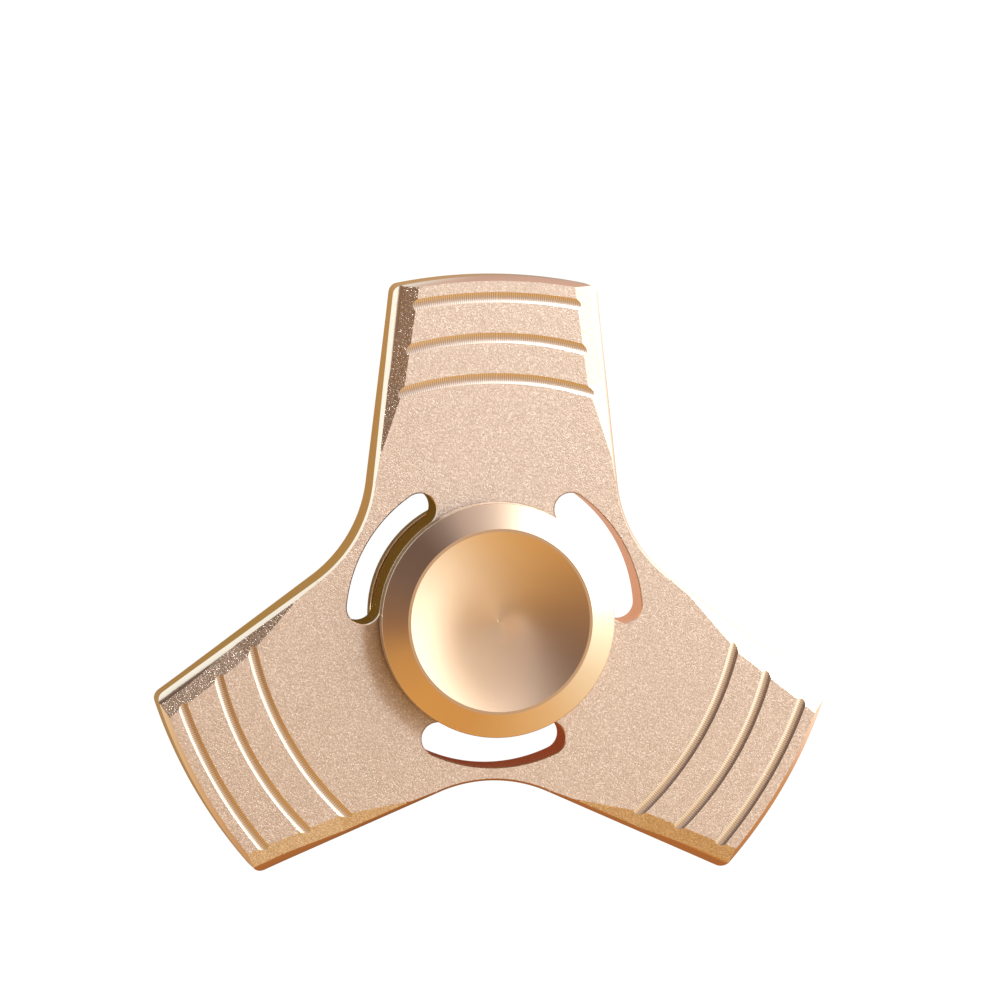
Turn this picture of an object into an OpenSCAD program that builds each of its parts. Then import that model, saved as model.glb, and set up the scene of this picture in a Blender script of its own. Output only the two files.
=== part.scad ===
// Three-armed fidget spinner, in millimetres.
// The spin axis is Z, and the origin is the centre of the ball bearing, halfway through the body.
// Arm 1 points along +Y, and the other two follow at 120 degree steps. The part is the same
// above and below the plane z = 0, so most shapes are made for the upper side and mirrored.

/* [Body] */
// Thickness of the three-armed body
body_thickness = 5; // [4.8:0.1:6]
// Distance from the spin axis to the middle of an arm's tip
arm_reach = 30.9; // [30.5:0.1:33]
// Half the width of an arm, measured at the spin axis
arm_half_width = 12.45; // [12:0.05:12.8]
// Taper of an arm's flank towards the tip, in degrees
arm_taper = 6.1; // [4:0.1:7]
// Radius of the bowed end of an arm
tip_radius = 44; // [30:1:60]
// Radius of the two outer corners of an arm
corner_radius = 0.9; // [0.5:0.1:2]
// Distance from the spin axis to the waist between two arms
waist_reach = 14.7; // [14.4:0.1:15.5]

/* [Edges] */
// Width of the bright chamfer round the waist
waist_chamfer = 0.2; // [0.1:0.05:0.4]
// Width of the bright chamfer along the tip and the flanks
tip_chamfer = 0.42; // [0.2:0.02:0.5]
// Slope of the broad bevel along each flank, in degrees
bevel_slope = 13.5; // [8:0.5:18]
// Half the width of the flat face at the kink of the bevel
bevel_kink_half_width = 8.35; // [8:0.05:9]
// Distance from the spin axis to the kink of the bevel
bevel_kink_reach = 21; // [20:0.5:22]
// Lean of the bevel's inner edge outside the kink, in degrees
bevel_outer_lean = 7.9; // [6:0.1:10]
// Lean of the bevel's inner edge inside the kink, in degrees
bevel_inner_lean = 18.9; // [16:0.1:22]

/* [Grooves] */
// Number of grooves across each arm
groove_count = 3; // [1:1:3]
// Distance from the spin axis to the outermost groove
groove_reach = 29; // [28.5:0.05:29.2]
// Spacing of the grooves
groove_spacing = 3.65; // [3:0.05:4]
// Width of a groove at the face
groove_width = 0.93; // [0.5:0.01:1.2]
// Depth of a groove, which has a round bottom
groove_depth = 0.08; // [0.05:0.01:0.25]
// Radius of the outermost groove's bow
groove_outer_bow = 42; // [35:1:50]
// Radius of the bow of the other grooves
groove_inner_bow = 30; // [26:1:40]

/* [Slots] */
// Radius of the circle that the slots run along
slot_path_radius = 12; // [11.8:0.1:12.1]
// Width of a slot, which is the cutter's diameter
slot_width = 3; // [2:0.1:3.2]
// Angle between the centres of a slot's two round ends, in degrees
slot_sweep = 50; // [20:1:56]
// Width of the fine chamfer round the mouth of a slot
slot_chamfer = 0.1; // [0.05:0.05:0.2]

/* [Caps] */
// Overall height of the spinner over both caps
overall_height = 12; // [11:0.1:14]
// Outside diameter of a cap
cap_diameter = 21.2; // [19:0.1:22]
// Gap between a cap and the body's face
cap_gap = 0.6; // [0.3:0.05:0.8]
// Height of a cap's upright side wall
cap_wall = 1.65; // [1:0.05:2]
// Radius of a cap's rim, where its sloping side ends
cap_rim_radius = 8.4; // [8:0.1:9]
// Radius of the finger dish in a cap
dish_radius = 8.12; // [7:0.02:8.5]
// Depth of the finger dish at its middle
dish_depth = 1; // [0.5:0.05:1.4]
// Radius of the small centre mark in the dish
centre_mark_radius = 0.3; // [0.2:0.05:0.5]

/* [Bearing] */
// Outside diameter of the ball bearing
bearing_diameter = 12.7; // [12.7]
// Bore of the ball bearing
bearing_bore = 6.35; // [6.35]
// Width of the ball bearing
bearing_width = 4.762; // [4.762]
// Diameter of a ball
ball_diameter = 1.5875; // [1.5875]
// Diameter of the circle through the balls' centres
ball_circle = 9.525; // [9.525]
// Clearance between a ball and each ring at the bottom of its raceway
ball_clearance = 0.02; // [0.01:0.01:0.05]

/* [Axle] */
// Diameter of the threaded stud that draws the caps together
stud_diameter = 4; // [3:0.5:4]
// Length of the stud
stud_length = 7.6; // [6:0.1:8]
// Width across the flats of the stud's hexagon socket
stud_socket = 2; // [1.5:0.1:2]

/* [Hidden] */
$fn = 96;
overlap = 0.05;
far = 60;
half_body = body_thickness / 2;
arm_angles = [0, 120, 240];
waist_angles = [-60, 60, 180];

// An arm's flank is a straight line, given by its outward direction and its distance.
flank_distance = arm_half_width * cos(arm_taper);
// The waist arc touches the flanks of the two arms beside it.
waist_lean = cos(30 - arm_taper);
waist_radius = (waist_reach * waist_lean - flank_distance) / (1 - waist_lean);
waist_centre = waist_reach + waist_radius;
waist_touch_reach = waist_centre * sin(30) - waist_radius * sin(arm_taper);
waist_touch_half = waist_centre * cos(30) - waist_radius * cos(arm_taper);
// The corner arc touches the flank and the bowed end of the arm.
tip_centre = arm_reach - tip_radius;
corner_across = flank_distance - corner_radius - tip_centre * sin(arm_taper);
corner_along = sqrt(pow(tip_radius - corner_radius, 2) - pow(corner_across, 2));
corner_half = corner_across * cos(arm_taper) - corner_along * sin(arm_taper);
corner_reach = tip_centre + corner_across * sin(arm_taper) + corner_along * cos(arm_taper);
corner_tip_lean = atan(corner_half / (corner_reach - tip_centre));

// The chamfer falls away from the waist towards the arm as the broad bevel grows beside it.
flank_drop = 1.05;
flank_drop_reach = 27;
flank_fall = atan((flank_drop - waist_chamfer) / (flank_drop_reach - waist_touch_reach));

cap_top = overall_height / 2;
cap_underside = half_body + cap_gap;
cap_radius = cap_diameter / 2;
cap_wall_top = cap_underside + cap_wall;
cap_edge = 0.12;
dish_sphere = (pow(dish_radius, 2) + pow(dish_depth, 2)) / (2 * dish_depth);
boss_radius = 3.95;
pilot_radius = bearing_bore / 2 - 0.02;
pilot_end = 0.2;
tapped_depth = stud_length / 2 + 0.1;
thread_clearance = 0.02;

half_bearing = bearing_width / 2;
ball_radius = ball_diameter / 2;
ball_orbit = ball_circle / 2;
ball_count = 10;
ball_step = 360 / ball_count;
raceway_radius = 0.52 * ball_diameter;
inner_land = 4.2;
outer_land = 5.3;
ring_edge = 0.15;
press_clearance = 0.01;
shield_seat = 1.65;
shield_thickness = 0.15;
shield_bore = inner_land + 0.1;
shield_radius = 5.7;
snap_groove_radius = 5.95;
snap_seat = shield_seat + shield_thickness;
snap_thickness = 0.25;
snap_width = 0.43;
snap_gap_angle = 16;
cage_inner = 4.42;
cage_outer = 5.1;
cage_thickness = 0.18;
pocket_clearance = 0.06;
pocket_radius = ball_radius + pocket_clearance;
rivet_radius = 0.13;
rivet_head_radius = 0.24;
rivet_head_height = 0.1;

champagne = [0.87, 0.72, 0.52];
rose_champagne = [0.84, 0.70, 0.57];
steel = [0.78, 0.79, 0.80];
brass = [0.80, 0.65, 0.34];

module both_sides() {
    children();
    mirror([0, 0, 1]) children();
}

module both_flanks() {
    children();
    mirror([1, 0, 0]) children();
}

module ring(inner, outer, low, high) {
    rotate_extrude() translate([inner, low]) square([outer - inner, high - low]);
}

// ---- Body outline, in the frame of one arm: the arm runs along +Y ----

module arm_outline() {
    intersection() {
        polygon([
            [-arm_half_width, 0],
            [arm_half_width, 0],
            [arm_half_width - far * tan(arm_taper), far],
            [-arm_half_width + far * tan(arm_taper), far]
        ]);
        translate([0, tip_centre]) circle(r = tip_radius);
    }
}

// What is cut away outside the rounded corner between a flank and the arm's end.
module corner_waste() {
    flank_touch = [corner_half + corner_radius * cos(arm_taper),
                   corner_reach + corner_radius * sin(arm_taper)];
    tip_touch = [corner_half + corner_radius * sin(corner_tip_lean),
                 corner_reach + corner_radius * cos(corner_tip_lean)];
    difference() {
        polygon([[corner_half, corner_reach], flank_touch,
                 [corner_half + 2 * corner_radius, corner_reach + 2 * corner_radius], tip_touch]);
        translate([corner_half, corner_reach]) circle(r = corner_radius);
    }
}

module hub_outline() {
    corners = [for (a = arm_angles, side = [1, -1])
        [side * waist_touch_half * cos(a) - waist_touch_reach * sin(a),
         side * waist_touch_half * sin(a) + waist_touch_reach * cos(a)]];
    polygon(corners);
}

module body_outline() {
    difference() {
        union() {
            hub_outline();
            for (a = arm_angles) rotate(a) arm_outline();
        }
        for (a = arm_angles) rotate(a) both_flanks() corner_waste();
        for (a = waist_angles) rotate(a) translate([0, waist_centre]) circle(r = waist_radius);
    }
}

// ---- Cuts into the body's upper face, in the frame of one arm ----

// Everything above a plane that holds the line through (half, reach, height). The line leans
// by lean degrees from the arm's direction and falls by fall degrees towards the tip, and the
// plane goes down by slope degrees to the outside of the line.
module above_slope(half, reach, height, lean, fall, slope) {
    translate([half, reach, height])
        rotate([0, 0, lean])
            rotate([-fall, 0, 0])
                rotate([0, slope, 0])
                    translate([-far / 2, -far / 2, 0]) cube([far, far, far / 4]);
}

module flank_bevel() {
    intersection() {
        above_slope(bevel_kink_half_width, bevel_kink_reach, half_body, bevel_outer_lean, 0,
                    bevel_slope);
        above_slope(bevel_kink_half_width, bevel_kink_reach, half_body, bevel_inner_lean, 0,
                    bevel_slope);
        translate([0, waist_touch_reach, 0]) cube([far, far, far]);
    }
}

module flank_chamfer() {
    low_half = arm_half_width - flank_drop_reach * tan(arm_taper);
    intersection() {
        above_slope(low_half, flank_drop_reach, half_body - flank_drop, arm_taper, 0, 45);
        above_slope(low_half, flank_drop_reach, half_body - flank_drop, arm_taper, flank_fall, 45);
        translate([0, waist_touch_reach, 0]) cube([far, far, far]);
    }
}

module tip_edge() {
    translate([0, tip_centre, 0]) rotate_extrude() polygon([
        [tip_radius + overlap, half_body - tip_chamfer - overlap],
        [tip_radius + 4, half_body - tip_chamfer - overlap],
        [tip_radius + 4, half_body + 1],
        [tip_radius - tip_chamfer - 1, half_body + 1]
    ]);
}

module waist_edge() {
    translate([0, waist_centre, half_body - waist_chamfer - 1])
        cylinder(h = 2, r1 = waist_radius - 1, r2 = waist_radius + 1);
}

module groove(reach, bow) {
    half_angle = 24;
    section = (pow(groove_width / 2, 2) + pow(groove_depth, 2)) / (2 * groove_depth);
    translate([0, reach - bow, 0])
        rotate([0, 0, 90 - half_angle])
            rotate_extrude(angle = 2 * half_angle)
                translate([bow, half_body - groove_depth + section]) circle(r = section);
}

module arm_cuts() {
    both_flanks() {
        flank_bevel();
        flank_chamfer();
    }
    tip_edge();
    for (i = [0 : groove_count - 1])
        groove(groove_reach - i * groove_spacing, i == 0 ? groove_outer_bow : groove_inner_bow);
}

// Half the section of a slot, from its middle to its wall, wider at both mouths.
module slot_section() {
    half = slot_width / 2;
    reach = half + slot_chamfer + overlap;
    mouth = half_body + overlap;
    throat = half_body - slot_chamfer;
    polygon([[0, -mouth], [reach, -mouth], [half, -throat], [half, throat], [reach, mouth],
             [0, mouth]]);
}

module slot() {
    rotate([0, 0, 90 - slot_sweep / 2]) rotate_extrude(angle = slot_sweep)
        translate([slot_path_radius, 0]) {
            slot_section();
            mirror([1, 0]) slot_section();
        }
    for (side = [-1, 1]) rotate([0, 0, side * slot_sweep / 2])
        translate([0, slot_path_radius, 0]) rotate_extrude() slot_section();
}

module spinner_body() {
    color(champagne) difference() {
        translate([0, 0, -half_body]) linear_extrude(body_thickness) body_outline();
        both_sides() {
            for (a = arm_angles) rotate([0, 0, a]) arm_cuts();
            for (a = waist_angles) rotate([0, 0, a]) waist_edge();
        }
        for (a = waist_angles) rotate([0, 0, a]) slot();
        cylinder(h = body_thickness + 2, r = bearing_diameter / 2 + press_clearance, center = true);
    }
}

// ---- Ball bearing ----

module raceway(groove_centre) {
    rotate_extrude() translate([groove_centre, 0]) circle(r = raceway_radius);
}

module bearing_outer_ring() {
    outside = bearing_diameter / 2;
    groove_bottom = ball_orbit + ball_radius + ball_clearance;
    color(steel) difference() {
        rotate_extrude() polygon([
            [outer_land, -half_bearing],
            [outside - ring_edge, -half_bearing],
            [outside, -half_bearing + ring_edge],
            [outside, half_bearing - ring_edge],
            [outside - ring_edge, half_bearing],
            [outer_land, half_bearing]
        ]);
        raceway(groove_bottom - raceway_radius);
        both_sides() {
            ring(outer_land - 1, shield_radius + press_clearance, shield_seat, half_bearing + 1);
            ring(outer_land, snap_groove_radius, snap_seat, snap_seat + snap_thickness + overlap);
        }
    }
}

module bearing_inner_ring() {
    inside = bearing_bore / 2;
    groove_bottom = ball_orbit - ball_radius - ball_clearance;
    color(steel) difference() {
        rotate_extrude() polygon([
            [inside, -half_bearing + ring_edge],
            [inside + ring_edge, -half_bearing],
            [inner_land, -half_bearing],
            [inner_land, half_bearing],
            [inside + ring_edge, half_bearing],
            [inside, half_bearing - ring_edge]
        ]);
        raceway(groove_bottom + raceway_radius);
    }
}

module at_balls(shift = 0) {
    for (i = [0 : ball_count - 1])
        rotate([0, 0, (i + shift) * ball_step]) translate([ball_orbit, 0, 0]) children();
}

// Half a disc standing on the plane z = 0, drawn out along the arm of one ball.
module pocket_hump() {
    translate([cage_inner, 0, 0]) rotate([90, 0, 90])
        linear_extrude(cage_outer - cage_inner) intersection() {
            circle(r = pocket_radius + cage_thickness);
            translate([-2, 0]) square([4, 2]);
        }
}

module cage_half() {
    difference() {
        union() {
            ring(cage_inner, cage_outer, 0, cage_thickness);
            for (i = [0 : ball_count - 1]) rotate([0, 0, i * ball_step]) pocket_hump();
        }
        at_balls() rotate([0, 90, 0]) cylinder(h = 3, r = pocket_radius, center = true);
        at_balls(0.5) cylinder(h = 1, r = rivet_radius, center = true);
    }
}

module cage_upper() {
    color(brass) cage_half();
}

module cage_lower() {
    color(brass) mirror([0, 0, 1]) cage_half();
}

module cage_rivets() {
    color(steel) at_balls(0.5) {
        cylinder(h = 2 * cage_thickness, r = rivet_radius, center = true);
        both_sides() translate([0, 0, cage_thickness])
            cylinder(h = rivet_head_height, r = rivet_head_radius);
    }
}

module bearing_ball(i) {
    color(steel) rotate([0, 0, i * ball_step]) translate([ball_orbit, 0, 0])
        sphere(r = ball_radius);
}

module shield_top() {
    color(steel) ring(shield_bore, shield_radius, shield_seat, shield_seat + shield_thickness);
}

module shield_bottom() {
    mirror([0, 0, 1]) shield_top();
}

module snap_ring_top() {
    color(steel) rotate([0, 0, snap_gap_angle / 2])
        rotate_extrude(angle = 360 - snap_gap_angle)
            translate([snap_groove_radius - overlap - snap_width, snap_seat])
                square([snap_width, snap_thickness]);
}

module snap_ring_bottom() {
    mirror([0, 0, 1]) snap_ring_top();
}

// ---- Finger caps and the stud between them ----

module cap() {
    difference() {
        rotate_extrude() polygon([
            [0, pilot_end],
            [pilot_radius - ring_edge, pilot_end],
            [pilot_radius, pilot_end + ring_edge],
            [pilot_radius, half_bearing],
            [boss_radius, half_bearing],
            [boss_radius, cap_underside],
            [cap_radius - cap_edge, cap_underside],
            [cap_radius, cap_underside + cap_edge],
            [cap_radius, cap_wall_top - cap_edge],
            [cap_radius - cap_edge, cap_wall_top],
            [cap_rim_radius, cap_top],
            [0, cap_top]
        ]);
        translate([0, 0, cap_top - dish_depth + dish_sphere]) sphere(r = dish_sphere);
        translate([0, 0, cap_top - dish_depth - centre_mark_radius / 2])
            cylinder(h = centre_mark_radius, r1 = 0, r2 = 2 * centre_mark_radius);
        translate([0, 0, pilot_end - 1])
            cylinder(h = tapped_depth + 1 - pilot_end, r = stud_diameter / 2 + thread_clearance);
    }
}

module top_cap() {
    color(rose_champagne) cap();
}

module bottom_cap() {
    color(rose_champagne) mirror([0, 0, 1]) cap();
}

module axle_stud() {
    socket_depth = 2;
    color(steel) difference() {
        cylinder(h = stud_length, d = stud_diameter, center = true);
        translate([0, 0, stud_length / 2 - socket_depth])
            cylinder(h = socket_depth + 1, d = stud_socket / cos(30), $fn = 6);
    }
}

spinner_body();
bearing_outer_ring();
bearing_inner_ring();
cage_upper();
cage_lower();
cage_rivets();
bearing_ball(0);  // bearing_ball_01
bearing_ball(1);  // bearing_ball_02
bearing_ball(2);  // bearing_ball_03
bearing_ball(3);  // bearing_ball_04
bearing_ball(4);  // bearing_ball_05
bearing_ball(5);  // bearing_ball_06
bearing_ball(6);  // bearing_ball_07
bearing_ball(7);  // bearing_ball_08
bearing_ball(8);  // bearing_ball_09
bearing_ball(9);  // bearing_ball_10
shield_top();
shield_bottom();
snap_ring_top();
snap_ring_bottom();
top_cap();
bottom_cap();
axle_stud();
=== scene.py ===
"""A champagne-gold, three-armed fidget spinner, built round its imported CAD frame."""

import math

import bpy
import numpy as np
from mathutils import Matrix, Vector
from mathutils.geometry import delaunay_2d_cdt


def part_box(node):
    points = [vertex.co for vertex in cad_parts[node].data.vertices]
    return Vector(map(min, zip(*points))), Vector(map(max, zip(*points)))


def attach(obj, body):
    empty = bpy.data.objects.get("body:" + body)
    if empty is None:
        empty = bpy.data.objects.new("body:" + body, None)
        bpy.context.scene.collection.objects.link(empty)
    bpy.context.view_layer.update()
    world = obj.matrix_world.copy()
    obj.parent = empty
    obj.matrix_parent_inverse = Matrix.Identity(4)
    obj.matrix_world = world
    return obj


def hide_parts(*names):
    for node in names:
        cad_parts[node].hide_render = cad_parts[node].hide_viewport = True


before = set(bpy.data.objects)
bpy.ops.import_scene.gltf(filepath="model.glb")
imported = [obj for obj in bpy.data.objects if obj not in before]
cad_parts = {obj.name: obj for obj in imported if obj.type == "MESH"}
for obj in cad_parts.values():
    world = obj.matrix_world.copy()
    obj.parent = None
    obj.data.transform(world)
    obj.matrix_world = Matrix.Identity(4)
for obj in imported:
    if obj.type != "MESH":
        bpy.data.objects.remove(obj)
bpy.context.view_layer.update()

MM = 0.001

# ---------------------------------------------------------------- dimensions, in millimetres

HALF_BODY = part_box("spinner_body")[1].z / MM
ARM_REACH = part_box("spinner_body")[1].y / MM
CAP_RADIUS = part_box("top_cap")[1].x / MM
CAP_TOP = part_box("top_cap")[1].z / MM
BEARING_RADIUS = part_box("bearing_outer_ring")[1].x / MM
HALF_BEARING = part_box("bearing_outer_ring")[1].z / MM
PRESS_CLEARANCE = 0.01
BORE_WALL = BEARING_RADIUS + PRESS_CLEARANCE

ARM_HALF_WIDTH = 12.45
ARM_TAPER = math.radians(6.1)
TIP_RADIUS = 44.0
CORNER_RADIUS = 0.9
WAIST_REACH = 14.7
WAIST_CHAMFER = 0.2
TIP_CHAMFER = 0.42
FLANK_DROP = 1.05
FLANK_DROP_REACH = 27.0
BEVEL_SLOPE = math.radians(13.5)
BEVEL_KINK = (8.35, 21.0)
BEVEL_LEANS = (math.radians(7.9), math.radians(18.9))
GROOVE_REACHES = (29.0, 25.35, 21.7)
GROOVE_BOWS = (42.0, 30.0, 30.0)
GROOVE_WIDTH = 0.93
GROOVE_DEPTH = 0.08
SLOT_PATH = 12.0
SLOT_HALF_WIDTH = 1.5
SLOT_HALF_SWEEP = math.radians(25)
SLOT_CHAMFER = 0.1

CAP_UNDERSIDE = HALF_BODY + 0.6
CAP_WALL_TOP = CAP_UNDERSIDE + 1.65
CAP_RIM_RADIUS = 8.4
DISH_RADIUS = 8.12
DISH_DEPTH = 1.0
# The turned mark in the middle of the dish is smaller and shallower than the CAD's.
DISH_MARK_RADIUS = 0.14
DISH_MARK_SLOPE = 0.15
BOSS_RADIUS = 3.95
BEARING_BORE = 6.35
PILOT_RADIUS = BEARING_BORE / 2 - 0.02
PILOT_END = 0.2
STUD_HOLE_RADIUS = 2.02
STUD_HOLE_TOP = 3.9
# Radii of the cap's rounded edges, where the CAD has small chamfers or sharp corners.
EDGE_AT_HOLE = 0.05
EDGE_AT_PILOT = 0.12
EDGE_AT_BOSS = 0.08
EDGE_AT_UNDERSIDE = 0.1
EDGE_AT_WALL_TOP = 0.13
EDGE_AT_RIM = 0.05
# The cap's slope, carried on, meets its wall about this far below CAP_WALL_TOP.
WALL_TOP_SETBACK = 0.076

# ---------------------------------------------------------------- camera, floor and light

CAMERA_TILT = math.radians(10.0)
CAMERA_AZIMUTH = math.radians(153)
CAMERA_DISTANCE = 0.810
CAMERA_LENS = 323.5
CAMERA_ROLL = math.radians(0.45)
SENSOR = 36.0
# Where the spin axis stands in the picture, as shares of its width from the middle.
AXIS_ACROSS = -0.0053
AXIS_DOWN = 0.1185
FLOOR_HALF_SIZE = 3.0

# The key light's place and size, in metres.
KEY_PLACE = Vector((0.16, 0.16, 0.26))
KEY_SIZE = 0.09
KEY_POWER = 0.85
KEY_TINT = (0.86, 1.08, 1.38)


def make_key_light(lit):
    """A near soft box on the body alone, which fades across it; the caps are lit without it."""
    data = bpy.data.lights.new("key", "AREA")
    data.shape, data.size = "DISK", KEY_SIZE
    data.energy, data.color = KEY_POWER, KEY_TINT
    key = bpy.data.objects.new("key", data)
    bpy.context.scene.collection.objects.link(key)
    turn = KEY_PLACE.to_track_quat("Z", "Y").to_matrix().to_4x4()
    key.matrix_world = Matrix.Translation(KEY_PLACE) @ turn
    group = bpy.data.collections.new("lit_by_key")
    group.objects.link(lit)
    key.light_linking.receiver_collection = group


def make_camera():
    """The photograph's view: a long lens, a little off the zenith and a little rolled."""
    data = bpy.data.cameras.new("camera")
    data.lens = CAMERA_LENS
    data.sensor_width = SENSOR
    data.clip_start = 0.05
    data.clip_end = 20.0
    camera = bpy.data.objects.new("camera", data)
    bpy.context.scene.collection.objects.link(camera)
    side = math.sin(CAMERA_TILT)
    back = Vector((side * math.cos(CAMERA_AZIMUTH), side * math.sin(CAMERA_AZIMUTH),
                   math.cos(CAMERA_TILT)))
    right = Vector((0, 1, 0)).cross(back).normalized()
    right = Matrix.Rotation(CAMERA_ROLL, 3, back) @ right
    up = back.cross(right)
    width = SENSOR / CAMERA_LENS * CAMERA_DISTANCE
    target = Vector((0, 0, HALF_BODY * MM)) - right * width * AXIS_ACROSS + up * width * AXIS_DOWN
    turn = Matrix((right, up, back)).transposed().to_4x4()
    camera.matrix_world = Matrix.Translation(target + back * CAMERA_DISTANCE) @ turn
    bpy.context.scene.camera = camera


class Nodes:
    """A short way to write a node tree."""

    def __init__(self, tree):
        self.tree = tree
        tree.nodes.clear()

    def add(self, kind, settings=None, **inputs):
        node = self.tree.nodes.new("ShaderNode" + kind)
        for key, value in (settings or {}).items():
            setattr(node, key, value)
        for key, value in inputs.items():
            self.put(node, key.replace("_", " "), value)
        return node

    def put(self, node, key, value):
        socket = node.inputs[int(key)] if key.isdigit() else node.inputs[key]
        if isinstance(value, bpy.types.NodeSocket):
            self.tree.links.new(value, socket)
        elif isinstance(value, bpy.types.Node):
            self.tree.links.new(value.outputs[0], socket)
        else:
            socket.default_value = value

    def math(self, operation, *values, clamp=False):
        node = self.add("Math", {"operation": operation, "use_clamp": clamp})
        for i, value in enumerate(values):
            self.put(node, str(i), value)
        return node.outputs[0]

    def radius(self, x, y):
        squares = [self.math("MULTIPLY", value, value) for value in (x, y)]
        return self.math("SQRT", self.math("ADD", *squares))

    def mix(self, factor, a, b):
        node = self.add("Mix", {"data_type": "RGBA"})
        self.put(node, "Factor", factor)
        for key, value in (("A", a), ("B", b)):
            socket = next(s for s in node.inputs if s.name == key and s.type == "RGBA")
            if isinstance(value, bpy.types.NodeSocket):
                self.tree.links.new(value, socket)
            else:
                socket.default_value = (*value[:3], 1.0)
        return next(s for s in node.outputs if s.type == "RGBA")

    def ramp(self, factor, stops, ease="LINEAR"):
        node = self.add("ValToRGB")
        node.color_ramp.interpolation = ease
        elements = node.color_ramp.elements
        while len(elements) < len(stops):
            elements.new(0.5)
        for element, (place, colour) in zip(elements, stops):
            element.position = place
            element.color = (*colour, 1.0)
        self.put(node, "Fac", factor)
        return node.outputs[0]


# The studio's light comes from all round, and is given by compass direction, in degrees from
# +X. The directions are taken about a point a little off the zenith, where the soft boxes meet.
MEETING_POINT = (0.026, -0.122)
STUDIO_SCALE = 4.0
WALLS = [
    (-180, (0.33, 0.21, 0.135)), (-160, (0.65, 0.40, 0.157)), (-131, (0.755, 0.46, 0.157)),
    (-102, (0.74, 0.44, 0.157)), (-81, (0.787, 0.518, 0.213)), (-51, (0.93, 0.70, 0.41)),
    (-23, (1.1, 1.08, 0.90)), (-5, (1.5, 1.5, 1.4)), (5, (1.9, 1.9, 1.8)), (16, (4, 4, 4)),
    (58, (4, 4, 4)), (72, (2.0, 2.0, 2.1)), (83, (0.90, 0.90, 0.97)), (93, (0.50, 0.43, 0.45)),
    (102, (0.36, 0.30, 0.32)), (112, (0.19, 0.155, 0.16)), (127, (0.153, 0.115, 0.115)),
    (154, (0.193, 0.144, 0.137)), (180, (0.33, 0.21, 0.135)),
]
# Between the walls and the ceiling, where the grooves and the broad bevels look.
COVE = [
    (-180, (0.33, 0.21, 0.135)), (-160, (0.65, 0.40, 0.157)), (-131, (0.755, 0.46, 0.157)),
    (-102, (0.74, 0.44, 0.157)), (-81, (0.77, 0.51, 0.21)), (-51, (0.90, 0.66, 0.36)),
    (-23, (1.1, 1.15, 1.1)), (-5, (1.8, 1.8, 1.8)), (14, (2.3, 2.3, 2.3)),
    (58, (2.3, 2.3, 2.3)), (72, (1.5, 1.5, 1.6)), (83, (1.2, 1.2, 1.3)), (95, (1.0, 1.0, 1.1)),
    (105, (0.75, 0.72, 0.78)), (114, (0.35, 0.32, 0.34)), (127, (0.17, 0.13, 0.12)),
    (154, (0.22, 0.17, 0.155)), (180, (0.33, 0.21, 0.135)),
]
CEILING = [
    (-180, (0.30, 0.18, 0.12)), (-160, (0.45, 0.28, 0.15)), (-125, (0.68, 0.44, 0.19)),
    (-50, (0.73, 0.53, 0.30)), (15, (0.60, 0.48, 0.38)), (35, (0.70, 0.60, 0.52)),
    (55, (0.62, 0.50, 0.42)), (68, (0.66, 0.56, 0.50)), (80, (0.85, 0.82, 0.88)),
    (92, (0.76, 0.72, 0.77)), (103, (0.40, 0.36, 0.38)), (113, (0.15, 0.10, 0.075)),
    (145, (0.15, 0.10, 0.075)), (161, (0.29, 0.22, 0.20)), (180, (0.28, 0.17, 0.12)),
]
SKIRTING = [
    (-180, (1.3, 1.6, 1.9)), (-166, (1.0, 0.95, 0.8)), (-142, (0.79, 0.60, 0.39)),
    (-116, (0.47, 0.21, 0.08)), (-49, (0.47, 0.21, 0.08)), (-29, (0.755, 0.46, 0.25)),
    (-8, (2.0, 2.0, 2.2)), (45, (2.2, 2.4, 2.8)), (70, (0.76, 0.62, 0.64)),
    (88, (0.70, 0.58, 0.62)), (100, (1.0, 1.25, 1.5)), (180, (1.3, 1.6, 1.9)),
]
# What lies under the spinner, out of the camera's sight, by direction from the spin axis.
UNDER_SLOTS = [
    (-180, (0.13, 0.075, 0.012)), (-140, (0.16, 0.06, 0.03)), (-110, (0.22, 0.05, 0.022)),
    (-50, (0.30, 0.07, 0.03)), (0, (0.80, 0.44, 0.30)), (60, (0.80, 0.50, 0.38)),
    (95, (0.13, 0.075, 0.012)), (180, (0.13, 0.075, 0.012)),
]
UNDER_RIM = [
    (-180, (0.42, 0.28, 0.09)), (-140, (0.45, 0.27, 0.12)), (-90, (0.30, 0.13, 0.05)),
    (-20, (0.6, 0.4, 0.25)), (30, (0.9, 0.8, 0.7)), (80, (0.5, 0.4, 0.33)),
    (100, (0.55, 0.34, 0.13)), (180, (0.42, 0.28, 0.09)),
]


def compass(n, x, y, table):
    """The table's colour by the direction of (x, y)."""
    turn = n.math("ARCTAN2", y, x)
    share = n.math("ADD", n.math("DIVIDE", turn, 2 * math.pi), 0.5)
    stops = [((a + 180) / 360, tuple(c / STUDIO_SCALE for c in colour)) for a, colour in table]
    return n.ramp(share, stops)


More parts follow.
